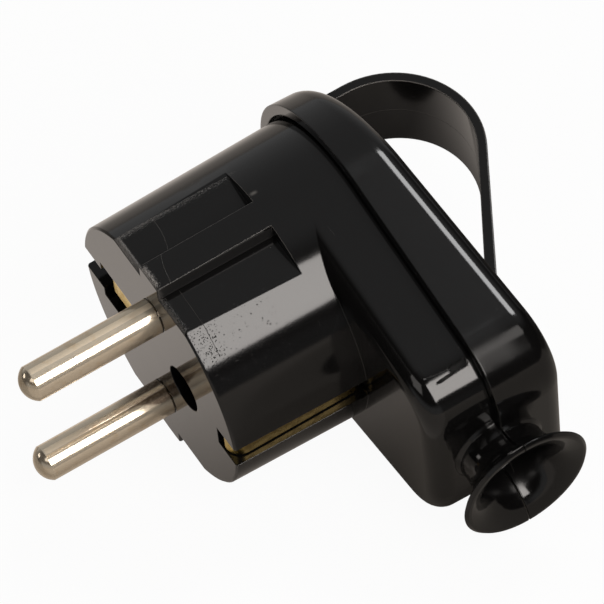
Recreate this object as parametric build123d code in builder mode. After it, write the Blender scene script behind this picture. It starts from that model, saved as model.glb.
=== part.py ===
from build123d import *
import os
from math import asin, cos, radians, sin, tan

# Angled, earthed two-pin plug with a strap handle, wired by hand. It is drawn in its own frame, in
# millimetres: X is the way the pins point, Y the way the cable leaves and Z runs from the lower pin to the
# upper one, with the origin at the middle of the face. Depths are measured back from the face. At the end the
# plug is rolled about X onto the flat of its side, as it lies on a table.

# Pins
PIN_RADIUS = 2.4
PIN_SPACING = 19.0
PIN_LENGTH = 19.0
PIN_DOME = 1.45
PIN_GROOVE_DEPTH = 0.5
PIN_GROOVE_PROUD = 0.1
PIN_GROOVE_SINK = 0.4
PIN_HOLE_CLEARANCE = 0.05
COLLAR_SIZE = 8.4
COLLAR_THICKNESS = 1.6
COLLAR_SINK = 1.2
COLLAR_CLEARANCE = 0.1
TERMINAL_RADIUS = 4.2
TERMINAL_LENGTH = 9.9
WIRE_HOLE_RADIUS = 1.5
WIRE_HOLE_FROM_END = 4.4

# Head of the front body
HEAD_RADIUS = 18.06
DRAFT = 1.17
FACE_WALL = 6.5
FACE_EDGE = 0.25
WALL = 2.0
SLOT_WALL = 1.75

# Guide recesses on the pins' sides of the head, each with a rib along its middle
RECESS_SINK = 1.96
RECESS_DEPTH = 16.4
RECESS_EDGE = 0.4
RIB_HALF_WIDTH = 2.15
RIB_DRAFT = 8.0

# Slots for the earth contact: a plain one towards the cable, one with a wider pocket at the face opposite
SLOT_SINK = 4.31
CABLE_SLOT_HALF_WIDTH = 1.75
BACK_SLOT_HALF_WIDTH = 2.2
BACK_POCKET_HALF_WIDTH = 3.8
BACK_POCKET_INNER = 6.2
BACK_POCKET_DEPTH = 5.0

# Flange behind the head, a teardrop that narrows towards the cable
SHOULDER_DEPTH = 18.9
FLANGE_HEIGHT = 8.75
SIDE_TAPER = 9.3
FLANGE_END = 34.0
FLANGE_CORNER = 7.75
SHOULDER_ROUND = 2.7
FLANGE_SINK = 0.03
SPIGOT_LENGTH = 2.45

# Rear cover
RIM_OVERLAP = 0.05
RIM_STEP = 2.0
RIM_END_STEP = 1.49
RIM_CORNER_STEP = 1.4
RIM_WALL = 1.45
COVER_DRAFT = 2.0
COVER_WALL = 2.0
COVER_LEDGE = 1.25
COVER_HEIGHT = 7.0
BACK_SLOPE = 4.61
BACK_ROUND = 2.65

# Strap handle on the rear cover
STRAP_WIDTH = 13.1
STRAP_THICKNESS = 1.25
STRAP_BEND_RADIUS = 11.95
STRAP_BEND_RISE = 3.37
STRAP_FOOT_INSET = 3.15
STRAP_LEG_LEAN = 29.4
STRAP_LEG_FLARE = 0.3
STRAP_ROOT = 1.0

# Flared cable outlet, one half on each shell
OUTLET_BORE = 4.2
OUTLET_NECK = 5.45
OUTLET_ROOT_EDGE = 0.4
OUTLET_NECK_LENGTH = 0.55
OUTLET_FLARE_LENGTH = 4.62
OUTLET_LIP_RADIUS = 8.88
OUTLET_LIP_EDGE = 0.4
OUTLET_GAP = 0.2
OUTLET_NOTCH_CLEARANCE = 0.1

# Screw that joins the shells, sunk in a well between the pins, and its nut
WELL_Y = 5.74
WELL_RADIUS = 3.2
WELL_DEPTH = 12.0
WELL_WALL = 1.7
SCREW_RADIUS = 1.7
SCREW_CLEARANCE = 0.2
SCREW_HEAD_RADIUS = 2.8
SCREW_HEAD_HEIGHT = 2.2
SCREW_REACH = 3.0
NUT_FLATS = 6.0
NUT_THICKNESS = 2.4
NUT_CLEARANCE = 0.1
NUT_BOSS_RADIUS = 4.6

# Earth contact, bent from strip, whose middle is held between the shells
STRIP_THICKNESS = 0.8
STRIP_WIDTH = 2.9
STRIP_BEND = 0.9
CABLE_STRIP_SINK = 0.85
BACK_STRIP_SINK = 1.25
NOSE_DEPTH = 0.2
NOSE_BEND = 1.7
NOSE_TIP = 0.1
TAB_DEPTH = 0.66
TAB_INNER = 6.9
TAB_RAMP = 4.1
EYELET_RADIUS = 4.2
EARTH_TERMINAL_Y = -6.0
EARTH_TERMINAL_RADIUS = 3.6
EARTH_COLLAR_RADIUS = 2.4
EARTH_COLLAR_HEIGHT = 2.2

# Small screws: terminals and cord clamp
M3_RADIUS = 1.45
M3_CLEARANCE = 0.1
M3_HEAD_RADIUS = 2.7
M3_HEAD_HEIGHT = 1.8
DRIVE_SLOT_WIDTH = 0.8
DRIVE_SLOT_DEPTH = 0.9
TERMINAL_SCREW_LENGTH = 2.8
EARTH_SCREW_LENGTH = 4.0
CLAMP_SCREW_LENGTH = 6.0
POST_BORE_WALL = 0.5

# Cord clamp on two posts in front of the outlet
CORD_RADIUS = 3.6
CLAMP_INSET = 6.5
CLAMP_WIDTH = 5.0
CLAMP_THICKNESS = 2.2
CLAMP_ARCH_WALL = 2.0
CLAMP_SCREW_STEP = 2.4
CLAMP_FOOT = 2.8
POST_RADIUS = 2.6
POST_STANDOFF = 0.35
SADDLE_WIDTH = 3.0
SADDLE_RISE = 1.5

# Values worked out from the sizes above
PIN_Z = PIN_SPACING / 2
COLLAR_DEPTH = FACE_WALL - COLLAR_SINK
TERMINAL_DEPTH = COLLAR_DEPTH + COLLAR_THICKNESS
TERMINAL_END = TERMINAL_DEPTH + TERMINAL_LENGTH
RECESS_FLAT = HEAD_RADIUS - RECESS_SINK
SLOT_FLOOR = HEAD_RADIUS - SLOT_SINK
WELL_BOSS_RADIUS = WELL_RADIUS + WELL_WALL
EARTH_WEB_DEPTH = SHOULDER_DEPTH - STRIP_THICKNESS
WEB_BACK_DEPTH = EARTH_WEB_DEPTH + STRIP_THICKNESS
LEAN = radians(SIDE_TAPER)
PARTING_DEPTH = SHOULDER_DEPTH + FLANGE_HEIGHT
PARTING_RADIUS = HEAD_RADIUS + PARTING_DEPTH * tan(radians(DRAFT))
FLANGE_RADIUS = PARTING_RADIUS - FLANGE_SINK
SHOULDER_WALL_DEPTH = SHOULDER_DEPTH + WALL
SPIGOT_DEPTH = PARTING_DEPTH + SPIGOT_LENGTH
RIM_DEPTH = PARTING_DEPTH - RIM_OVERLAP
COVER_RADIUS = FLANGE_RADIUS + RIM_STEP
COVER_END = FLANGE_END + RIM_END_STEP
COVER_CORNER = FLANGE_CORNER + RIM_CORNER_STEP
BACK_DEPTH = PARTING_DEPTH + COVER_HEIGHT
BACK_RISE = tan(radians(BACK_SLOPE))
BACK_PLANE = Plane(origin=(-BACK_DEPTH, 0, 0), z_dir=(-1, -BACK_RISE, 0))
STRAP_BEND_DEPTH = BACK_DEPTH + STRAP_BEND_RISE
STRAP_FOOT_Y = STRAP_FOOT_INSET - COVER_RADIUS
STRAP_BEND_Y = STRAP_FOOT_Y + STRAP_BEND_RADIUS
OUTLET_AXIS = Axis((-PARTING_DEPTH, 0, 0), (0, 1, 0))
OUTLET_FLARE_START = COVER_END + OUTLET_NECK_LENGTH
OUTLET_LIP_Y = OUTLET_FLARE_START + OUTLET_FLARE_LENGTH
CLAMP_Y = FLANGE_END - CLAMP_INSET
CLAMP_DEPTH = PARTING_DEPTH + POST_STANDOFF
CLAMP_ARCH_RADIUS = CORD_RADIUS + CLAMP_ARCH_WALL
CLAMP_SCREW_Z = CLAMP_ARCH_RADIUS + CLAMP_SCREW_STEP
CLAMP_HALF_LENGTH = CLAMP_SCREW_Z + CLAMP_FOOT


def behind(depth):
    """Plane across the plug at a depth behind the face, facing the way the pins point."""
    return Plane.YZ.offset(-depth)


def teardrop(radius, end, corner):
    """Outline of the flange: round about the head, tapered straight sides and a round-cornered end wall."""
    turn_y = end - corner
    turn_z = (radius - corner - turn_y * sin(LEAN)) / cos(LEAN)
    half_turn = radians(90 - SIDE_TAPER) / 2
    with BuildSketch() as outline:
        with BuildLine():
            for side in (1, -1):
                start = (radius * sin(LEAN), side * radius * cos(LEAN))
                turn_start = (turn_y + corner * sin(LEAN), side * (turn_z + corner * cos(LEAN)))
                turn_middle = (turn_y + corner * cos(half_turn), side * (turn_z + corner * sin(half_turn)))
                Line(start, turn_start)
                ThreePointArc(turn_start, turn_middle, (end, side * turn_z))
            Line((end, turn_z), (end, -turn_z))
            ThreePointArc((start[0], -start[1]), (-radius, 0), start)
        make_face()
    return outline.sketch


def outlet_half(end_wall, keep):
    """One half of the flared outlet, from the flange's inside to the lip, clear of the parting plane."""
    start = FLANGE_END - WALL
    root = OUTLET_NECK + OUTLET_ROOT_EDGE
    lip_inner = OUTLET_LIP_RADIUS - OUTLET_LIP_EDGE
    lip_back = OUTLET_LIP_Y - OUTLET_LIP_EDGE
    lip_front = OUTLET_LIP_Y + OUTLET_LIP_EDGE
    gap_side = OUTLET_GAP / 2 if keep == Keep.TOP else -OUTLET_GAP / 2
    with BuildPart() as half:
        with BuildSketch(Plane.XY.move(Location((-PARTING_DEPTH, 0, 0)))):
            with BuildLine():
                Polyline(
                    (0, lip_front), (0, start), (root, start), (root, end_wall),
                    (OUTLET_NECK, end_wall + OUTLET_ROOT_EDGE), (OUTLET_NECK, OUTLET_FLARE_START),
                )
                TangentArc((OUTLET_NECK, OUTLET_FLARE_START), (lip_inner, lip_back), tangent=(0, 1))
                Polyline(
                    (lip_inner, lip_back), (OUTLET_LIP_RADIUS, OUTLET_LIP_Y), (lip_inner, lip_front),
                    (0, lip_front),
                )
            make_face()
        revolve(axis=OUTLET_AXIS)
        split(bisect_by=behind(PARTING_DEPTH - gap_side), keep=keep)
    return half.part


def outlet_bore():
    """Space that the cord takes in the end walls and the flared outlet."""
    mouth = OUTLET_LIP_RADIUS - 2 * OUTLET_LIP_EDGE
    mouth_y = OUTLET_LIP_Y + OUTLET_LIP_EDGE
    with BuildPart() as bore:
        with BuildSketch(Plane.XY.move(Location((-PARTING_DEPTH, 0, 0)))):
            with BuildLine():
                Polyline(
                    (0, mouth_y), (0, CLAMP_Y), (OUTLET_BORE, CLAMP_Y), (OUTLET_BORE, OUTLET_FLARE_START)
                )
                TangentArc((OUTLET_BORE, OUTLET_FLARE_START), (mouth, mouth_y), tangent=(0, 1))
                Line((mouth, mouth_y), (0, mouth_y))
            make_face()
        revolve(axis=OUTLET_AXIS)
    return bore.part


def slotted_screw(radius, length, head_radius, head_height, seat_depth, y, z, heading):
    """Screw along X whose head seats at a depth; heading 1 points the head to the face, -1 to the back."""
    with BuildPart() as screw:
        with BuildSketch(behind(seat_depth)):
            with Locations((y, z)):
                Circle(radius)
        extrude(amount=-heading * length)
        with BuildSketch(behind(seat_depth)):
            with Locations((y, z)):
                Circle(head_radius)
        extrude(amount=heading * head_height)
        with BuildSketch(behind(seat_depth - heading * head_height)):
            with Locations((y, z)):
                Rectangle(2 * head_radius, DRIVE_SLOT_WIDTH)
        extrude(amount=-heading * DRIVE_SLOT_DEPTH, mode=Mode.SUBTRACT)
    return screw.part


def make_pin(z):
    """Domed pin, grooved at the face, with a square collar behind it and a drilled end for wire and screw."""
    groove_radius = PIN_RADIUS - PIN_GROOVE_SINK
    dome_radius = (PIN_RADIUS**2 + PIN_DOME**2) / (2 * PIN_DOME)
    half_dome = asin(PIN_RADIUS / dome_radius) / 2
    dome_centre = PIN_LENGTH - dome_radius
    dome_middle = (dome_centre + dome_radius * cos(half_dome), dome_radius * sin(half_dome))
    with BuildPart() as pin:
        with BuildSketch(Plane.XY.move(Location((0, 0, z)))):
            with BuildLine():
                Polyline(
                    (PIN_LENGTH, 0), (-COLLAR_DEPTH, 0), (-COLLAR_DEPTH, PIN_RADIUS),
                    (-PIN_GROOVE_DEPTH, PIN_RADIUS), (-PIN_GROOVE_DEPTH, groove_radius),
                    (PIN_GROOVE_PROUD, groove_radius), (PIN_GROOVE_PROUD, PIN_RADIUS),
                    (PIN_LENGTH - PIN_DOME, PIN_RADIUS),
                )
                ThreePointArc((PIN_LENGTH - PIN_DOME, PIN_RADIUS), dome_middle, (PIN_LENGTH, 0))
            make_face()
        revolve(axis=Axis((0, 0, z), (1, 0, 0)))
        with BuildSketch(behind(COLLAR_DEPTH)):
            with Locations((0, z)):
                Rectangle(COLLAR_SIZE, COLLAR_SIZE)
        extrude(amount=-COLLAR_THICKNESS)
        with BuildSketch(behind(TERMINAL_DEPTH)):
            with Locations((0, z)):
                Circle(TERMINAL_RADIUS)
        extrude(amount=-TERMINAL_LENGTH)
        with BuildSketch(Plane.XZ):
            with Locations((-TERMINAL_END + WIRE_HOLE_FROM_END, z)):
                Circle(WIRE_HOLE_RADIUS)
        extrude(amount=TERMINAL_RADIUS, both=True, mode=Mode.SUBTRACT)
        with BuildSketch(behind(TERMINAL_END)):
            with Locations((0, z)):
                Circle(M3_RADIUS + M3_CLEARANCE)
        extrude(amount=WIRE_HOLE_FROM_END, mode=Mode.SUBTRACT)
    return pin.part


def recess_sketch():
    """Sections of the guide recesses: a flat on each side of a drafted rib, above and below the head."""
    reach = HEAD_RADIUS
    rib_top = RIB_HALF_WIDTH - (reach - RECESS_FLAT) * tan(radians(RIB_DRAFT)) - 0.1
    with BuildSketch() as recess:
        with BuildLine():
            Polyline(
                (RIB_HALF_WIDTH, RECESS_FLAT), (reach, RECESS_FLAT), (reach, 2 * reach), (rib_top, 2 * reach),
                close=True,
            )
        make_face()
        mirror(about=Plane.YZ)
        mirror(about=Plane.XZ)
    return recess.sketch


# Front body
with BuildPart() as front_body:
    # Flange with a rounded shoulder, which runs out into the head
    with BuildSketch(behind(PARTING_DEPTH)):
        add(teardrop(FLANGE_RADIUS, FLANGE_END, FLANGE_CORNER))
    extrude(amount=FLANGE_HEIGHT, taper=DRAFT)
    fillet(faces().sort_by(Axis.X)[-1].edges(), radius=SHOULDER_ROUND)
    # Drafted round head
    with BuildSketch(Plane.XY):
        with BuildLine():
            Polyline(
                (0, 0), (0, HEAD_RADIUS - FACE_EDGE), (-FACE_EDGE, HEAD_RADIUS),
                (-PARTING_DEPTH, PARTING_RADIUS), (-PARTING_DEPTH, 0),
                close=True,
            )
        make_face()
    revolve(axis=Axis.X)
    # Spigot that enters the rear cover
    with BuildSketch(behind(SPIGOT_DEPTH)):
        add(teardrop(FLANGE_RADIUS, FLANGE_END, FLANGE_CORNER))
    extrude(amount=SPIGOT_LENGTH)
    # Front half of the flared outlet
    add(outlet_half(FLANGE_END, Keep.TOP))
    # Guide recesses and contact slots
    with BuildSketch(behind(0)):
        add(recess_sketch())
    extrude(amount=-RECESS_DEPTH, mode=Mode.SUBTRACT)
    for side in (1, -1):
        with BuildSketch(Plane.XZ.offset(-side * RIB_HALF_WIDTH)):
            with BuildLine():
                Polyline(
                    (0, RECESS_FLAT), (-RECESS_EDGE, RECESS_FLAT), (0, RECESS_FLAT - RECESS_EDGE),
                    close=True,
                )
            make_face()
            mirror(about=Plane.XZ)
        extrude(amount=-side * HEAD_RADIUS, mode=Mode.SUBTRACT)
    with BuildSketch(behind(0)):
        with Locations((SLOT_FLOOR, 0)):
            Rectangle(HEAD_RADIUS, 2 * CABLE_SLOT_HALF_WIDTH, align=(Align.MIN, Align.CENTER))
        with Locations((-SLOT_FLOOR, 0)):
            Rectangle(HEAD_RADIUS, 2 * BACK_SLOT_HALF_WIDTH, align=(Align.MAX, Align.CENTER))
    extrude(amount=-WEB_BACK_DEPTH, mode=Mode.SUBTRACT)
    with BuildSketch(behind(0)):
        with Locations((-BACK_POCKET_INNER, 0)):
            pocket_length = SLOT_FLOOR - BACK_POCKET_INNER
            Rectangle(pocket_length, 2 * BACK_POCKET_HALF_WIDTH, align=(Align.MAX, Align.CENTER))
    extrude(amount=-BACK_POCKET_DEPTH, mode=Mode.SUBTRACT)
    # Hollow head and flange
    with BuildSketch(behind(FACE_WALL)):
        Circle(HEAD_RADIUS - WALL)
        Rectangle(2 * (SLOT_FLOOR - SLOT_WALL), 2 * (RECESS_FLAT - WALL), mode=Mode.INTERSECT)
    extrude(amount=-(SPIGOT_DEPTH - FACE_WALL), mode=Mode.SUBTRACT)
    with BuildSketch(behind(SHOULDER_WALL_DEPTH)):
        add(teardrop(FLANGE_RADIUS - WALL, FLANGE_END - WALL, FLANGE_CORNER - WALL))
    extrude(amount=-(SPIGOT_DEPTH - SHOULDER_WALL_DEPTH), mode=Mode.SUBTRACT)
    # Channels that the earth contact slides in along, from the back
    with BuildSketch(behind(SPIGOT_DEPTH)):
        with Locations((HEAD_RADIUS - CABLE_STRIP_SINK, 0)):
            Rectangle(HEAD_RADIUS / 2, 2 * CABLE_SLOT_HALF_WIDTH, align=(Align.MAX, Align.CENTER))
        with Locations((-(HEAD_RADIUS - CABLE_STRIP_SINK), 0)):
            Rectangle(HEAD_RADIUS / 2, 2 * BACK_SLOT_HALF_WIDTH, align=(Align.MIN, Align.CENTER))
    extrude(amount=SPIGOT_DEPTH - EARTH_WEB_DEPTH + STRIP_THICKNESS, mode=Mode.SUBTRACT)
    # Boss of the well, posts and saddle of the cord clamp
    with BuildSketch(behind(FACE_WALL)):
        with Locations((WELL_Y, 0)):
            Circle(WELL_BOSS_RADIUS)
    extrude(amount=-(EARTH_WEB_DEPTH - FACE_WALL))
    with BuildSketch(behind(SHOULDER_WALL_DEPTH)):
        with Locations((CLAMP_Y, CLAMP_SCREW_Z), (CLAMP_Y, -CLAMP_SCREW_Z)):
            Circle(POST_RADIUS)
    extrude(amount=-(CLAMP_DEPTH - SHOULDER_WALL_DEPTH))
    with BuildSketch(behind(SHOULDER_WALL_DEPTH)):
        with Locations((CLAMP_Y, 0)):
            Rectangle(SADDLE_WIDTH, 2 * CLAMP_SCREW_Z)
    extrude(amount=-(PARTING_DEPTH - CORD_RADIUS + SADDLE_RISE - SHOULDER_WALL_DEPTH))
    with BuildSketch(Plane.XZ.offset(-CLAMP_Y)):
        with Locations((-PARTING_DEPTH, 0)):
            Circle(CORD_RADIUS)
    extrude(amount=SADDLE_WIDTH, both=True, mode=Mode.SUBTRACT)
    # Holes for the pins with their collars' pockets, the well and its screw, and the clamp's screws
    with BuildSketch(behind(FACE_WALL)):
        with Locations((0, PIN_Z), (0, -PIN_Z)):
            Circle(PIN_RADIUS + PIN_HOLE_CLEARANCE)
    extrude(amount=FACE_WALL, mode=Mode.SUBTRACT)
    with BuildSketch(behind(FACE_WALL)):
        with Locations((0, PIN_Z), (0, -PIN_Z)):
            Rectangle(COLLAR_SIZE + 2 * COLLAR_CLEARANCE, COLLAR_SIZE + 2 * COLLAR_CLEARANCE)
    extrude(amount=COLLAR_SINK, mode=Mode.SUBTRACT)
    with BuildSketch(behind(WELL_DEPTH)):
        with Locations((WELL_Y, 0)):
            Circle(WELL_RADIUS)
    extrude(amount=WELL_DEPTH, mode=Mode.SUBTRACT)
    with BuildSketch(behind(EARTH_WEB_DEPTH)):
        with Locations((WELL_Y, 0)):
            Circle(SCREW_RADIUS + SCREW_CLEARANCE)
    extrude(amount=EARTH_WEB_DEPTH - WELL_DEPTH, mode=Mode.SUBTRACT)
    with BuildSketch(behind(CLAMP_DEPTH)):
        with Locations((CLAMP_Y, CLAMP_SCREW_Z), (CLAMP_Y, -CLAMP_SCREW_Z)):
            Circle(M3_RADIUS + M3_CLEARANCE)
    extrude(amount=CLAMP_SCREW_LENGTH - CLAMP_THICKNESS + POST_BORE_WALL, mode=Mode.SUBTRACT)
    # Way of the cord through the end wall, and the spigot's notch for the other half of the outlet
    add(outlet_bore(), mode=Mode.SUBTRACT)
    with BuildSketch(behind(SPIGOT_DEPTH)):
        with Locations((FLANGE_END, 0)):
            Rectangle(2 * WALL, 2 * (OUTLET_NECK + OUTLET_ROOT_EDGE + OUTLET_NOTCH_CLEARANCE))
    extrude(amount=SPIGOT_LENGTH, mode=Mode.SUBTRACT)

# Space inside the rear cover: a wide mouth for the spigot, then a narrower chamber with the back's slope
with BuildPart() as cover_space:
    ledge_radius = FLANGE_RADIUS - COVER_LEDGE
    with BuildSketch(behind(SPIGOT_DEPTH)):
        add(teardrop(ledge_radius, FLANGE_END - COVER_LEDGE, FLANGE_CORNER - COVER_LEDGE))
    extrude(amount=-BACK_DEPTH)
    split(bisect_by=BACK_PLANE.offset(-COVER_WALL), keep=Keep.BOTTOM)
    with BuildSketch(behind(SPIGOT_DEPTH)):
        add(teardrop(COVER_RADIUS - RIM_WALL, COVER_END - RIM_WALL, COVER_CORNER - RIM_WALL))
    extrude(amount=SPIGOT_LENGTH + PARTING_DEPTH - RIM_DEPTH)

# Rear cover
with BuildPart() as rear_cover:
    # Teardrop cap with drafted sides, a sloping back and a rounded back edge
    with BuildSketch(behind(RIM_DEPTH)):
        add(teardrop(COVER_RADIUS, COVER_END, COVER_CORNER))
    extrude(amount=-BACK_DEPTH, taper=COVER_DRAFT)
    split(bisect_by=BACK_PLANE, keep=Keep.BOTTOM)
    fillet(faces().sort_by(Axis.X)[0].edges(), radius=BACK_ROUND)
    # Strap handle: up from the round end, over a wide bend and down a leaning leg to the back
    lean = radians(STRAP_LEG_LEAN)
    strap_inner = STRAP_BEND_RADIUS - STRAP_THICKNESS
    leg_inner = strap_inner - STRAP_LEG_FLARE
    strap_start = STRAP_ROOT - BACK_DEPTH - STRAP_FOOT_Y * BACK_RISE
    leg_length = (STRAP_BEND_RADIUS * cos(lean) + STRAP_BEND_DEPTH - BACK_DEPTH) / sin(lean)
    leg_run = leg_length * (1 - BACK_RISE / tan(lean)) + STRAP_ROOT / sin(lean)
    with BuildSketch(Plane.XY.move(Location((-STRAP_BEND_DEPTH, STRAP_BEND_Y, 0)))):
        with BuildLine():
            for radius, root in ((STRAP_BEND_RADIUS, STRAP_BEND_RADIUS), (strap_inner, leg_inner)):
                bend_end = (-radius * cos(lean), radius * sin(lean))
                leg_end = (leg_run * sin(lean) - root * cos(lean), leg_run * cos(lean) + root * sin(lean))
                Line((strap_start + STRAP_BEND_DEPTH, -radius), (0, -radius))
                ThreePointArc((0, -radius), (-radius, 0), bend_end)
                Line(bend_end, leg_end)
            Line(
                (strap_start + STRAP_BEND_DEPTH, -STRAP_BEND_RADIUS),
                (strap_start + STRAP_BEND_DEPTH, -strap_inner),
            )
            leg_width = STRAP_BEND_RADIUS - leg_inner
            Line(leg_end, (leg_end[0] - leg_width * cos(lean), leg_end[1] + leg_width * sin(lean)))
        make_face()
    extrude(amount=STRAP_WIDTH / 2, both=True)
    # Hollow, then the rear half of the flared outlet, which closes the notch of the spigot
    add(cover_space.part, mode=Mode.SUBTRACT)
    add(outlet_half(COVER_END, Keep.BOTTOM))
    # Nut boss and the hollow columns that bear on the pins' ends
    with BuildSketch(behind(WEB_BACK_DEPTH)):
        with Locations((WELL_Y, 0)):
            Circle(NUT_BOSS_RADIUS)
    extrude(amount=-(BACK_DEPTH - COVER_WALL / 2 - WEB_BACK_DEPTH))
    with BuildSketch(behind(TERMINAL_END)):
        with Locations((0, PIN_Z), (0, -PIN_Z)):
            Circle(TERMINAL_RADIUS)
            Circle(M3_HEAD_RADIUS + M3_CLEARANCE, mode=Mode.SUBTRACT)
    extrude(amount=-(BACK_DEPTH - COVER_WALL / 2 - TERMINAL_END))
    with BuildSketch(behind(WEB_BACK_DEPTH)):
        with Locations((WELL_Y, 0)):
            RegularPolygon(NUT_FLATS / 2 + NUT_CLEARANCE, 6, major_radius=False)
    extrude(amount=-(NUT_THICKNESS + NUT_CLEARANCE), mode=Mode.SUBTRACT)
    with BuildSketch(behind(WEB_BACK_DEPTH)):
        with Locations((WELL_Y, 0)):
            Circle(SCREW_RADIUS + SCREW_CLEARANCE)
    extrude(amount=-(NUT_THICKNESS + 2 * SCREW_REACH), mode=Mode.SUBTRACT)
    # Way of the cord through the end wall
    add(outlet_bore(), mode=Mode.SUBTRACT)

# Pins and their terminal screws
pin_upper = make_pin(PIN_Z)
pin_lower = make_pin(-PIN_Z)
terminal_screw_sizes = (M3_RADIUS, TERMINAL_SCREW_LENGTH, M3_HEAD_RADIUS, M3_HEAD_HEIGHT, TERMINAL_END)
with BuildPart() as pin_terminal_screws:
    add(slotted_screw(*terminal_screw_sizes, 0, PIN_Z, -1))
    add(slotted_screw(*terminal_screw_sizes, 0, -PIN_Z, -1))

# Earth contact: a strip bent round the inside of the head, with a nose at one end and a tab at the other
with BuildPart() as earth_contact:
    half_strip = STRIP_THICKNESS / 2
    web_x = -EARTH_WEB_DEPTH - half_strip
    cable_y = HEAD_RADIUS - CABLE_STRIP_SINK - half_strip
    back_y = -(HEAD_RADIUS - BACK_STRIP_SINK - half_strip)
    nose_x = -NOSE_DEPTH - half_strip
    tab_x = -TAB_DEPTH - half_strip
    with BuildSketch(Plane.XY):
        with BuildLine():
            FilletPolyline(
                (nose_x, cable_y - NOSE_BEND - NOSE_TIP),
                (nose_x, cable_y),
                (web_x, cable_y),
                (web_x, back_y),
                (tab_x - TAB_RAMP, back_y),
                (tab_x, back_y + TAB_RAMP),
                (tab_x, -TAB_INNER),
                radius=(NOSE_BEND, STRIP_BEND, STRIP_BEND, STRIP_BEND, STRIP_BEND),
            )
        trace(line_width=STRIP_THICKNESS)
    extrude(amount=STRIP_WIDTH / 2, both=True)
    with BuildSketch(behind(EARTH_WEB_DEPTH)):
        with Locations((WELL_Y, 0)):
            Circle(EYELET_RADIUS)
        with Locations((EARTH_TERMINAL_Y, 0)):
            Circle(EARTH_TERMINAL_RADIUS)
    extrude(amount=-STRIP_THICKNESS)
    with BuildSketch(behind(EARTH_WEB_DEPTH)):
        with Locations((EARTH_TERMINAL_Y, 0)):
            Circle(EARTH_COLLAR_RADIUS)
    extrude(amount=EARTH_COLLAR_HEIGHT)
    with BuildSketch(behind(WEB_BACK_DEPTH)):
        with Locations((WELL_Y, 0)):
            Circle(SCREW_RADIUS + SCREW_CLEARANCE)
        with Locations((EARTH_TERMINAL_Y, 0)):
            Circle(M3_RADIUS + M3_CLEARANCE)
    extrude(amount=STRIP_THICKNESS + EARTH_COLLAR_HEIGHT, mode=Mode.SUBTRACT)

earth_terminal_screw = slotted_screw(
    M3_RADIUS, EARTH_SCREW_LENGTH, M3_HEAD_RADIUS, M3_HEAD_HEIGHT, WEB_BACK_DEPTH, EARTH_TERMINAL_Y, 0, -1
)

# Screw and nut that join the shells
assembly_screw_length = WEB_BACK_DEPTH + NUT_THICKNESS + SCREW_REACH - WELL_DEPTH
assembly_screw = slotted_screw(
    SCREW_RADIUS, assembly_screw_length, SCREW_HEAD_RADIUS, SCREW_HEAD_HEIGHT, WELL_DEPTH, WELL_Y, 0, 1
)
with BuildPart() as assembly_nut:
    with BuildSketch(behind(WEB_BACK_DEPTH)):
        with Locations((WELL_Y, 0)):
            RegularPolygon(NUT_FLATS / 2, 6, major_radius=False)
            Circle(SCREW_RADIUS + SCREW_CLEARANCE / 4, mode=Mode.SUBTRACT)
    extrude(amount=-NUT_THICKNESS)

# Cord clamp: a bar with an arch over the cord, on the two posts
with BuildPart() as cord_clamp:
    with BuildSketch(Plane.XZ.offset(-CLAMP_Y)):
        with Locations((-PARTING_DEPTH, 0)):
            Circle(CLAMP_ARCH_RADIUS)
        with Locations((-CLAMP_DEPTH, 0)):
            Rectangle(CLAMP_THICKNESS, 2 * CLAMP_HALF_LENGTH, align=(Align.MAX, Align.CENTER))
        with Locations((-PARTING_DEPTH, 0)):
            Circle(CORD_RADIUS, mode=Mode.SUBTRACT)
        with Locations((-CLAMP_DEPTH, 0)):
            above_feet = (CLAMP_HALF_LENGTH, 2 * CLAMP_HALF_LENGTH)
            Rectangle(*above_feet, align=(Align.MIN, Align.CENTER), mode=Mode.SUBTRACT)
    extrude(amount=CLAMP_WIDTH / 2, both=True)
    with BuildSketch(behind(CLAMP_DEPTH)):
        with Locations((CLAMP_Y, CLAMP_SCREW_Z), (CLAMP_Y, -CLAMP_SCREW_Z)):
            Circle(M3_RADIUS + M3_CLEARANCE)
    extrude(amount=-CLAMP_THICKNESS, mode=Mode.SUBTRACT)

clamp_back_depth = CLAMP_DEPTH + CLAMP_THICKNESS
clamp_screw_sizes = (M3_RADIUS, CLAMP_SCREW_LENGTH, M3_HEAD_RADIUS, M3_HEAD_HEIGHT, clamp_back_depth)
with BuildPart() as clamp_screws:
    add(slotted_screw(*clamp_screw_sizes, CLAMP_Y, CLAMP_SCREW_Z, -1))
    add(slotted_screw(*clamp_screw_sizes, CLAMP_Y, -CLAMP_SCREW_Z, -1))

# Every piece, rolled onto the flat of the cover's side and written to its own file
pieces = {
    "front_body": front_body.part,
    "rear_cover": rear_cover.part,
    "pin_upper": pin_upper,
    "pin_lower": pin_lower,
    "pin_terminal_screws": pin_terminal_screws.part,
    "earth_contact": earth_contact.part,
    "earth_terminal_screw": earth_terminal_screw,
    "assembly_screw": assembly_screw,
    "assembly_nut": assembly_nut.part,
    "cord_clamp": cord_clamp.part,
    "clamp_screws": clamp_screws.part,
}
os.makedirs("parts", exist_ok=True)
for name, piece in pieces.items():
    laid = piece.rotate(Axis.X, -SIDE_TAPER)
    laid.label = name
    export_step(laid, f"parts/{name}.step")
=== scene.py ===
import math

import bmesh
import bpy
from bpy.props import FloatProperty, FloatVectorProperty, PointerProperty
from mathutils import Matrix, Vector


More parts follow.
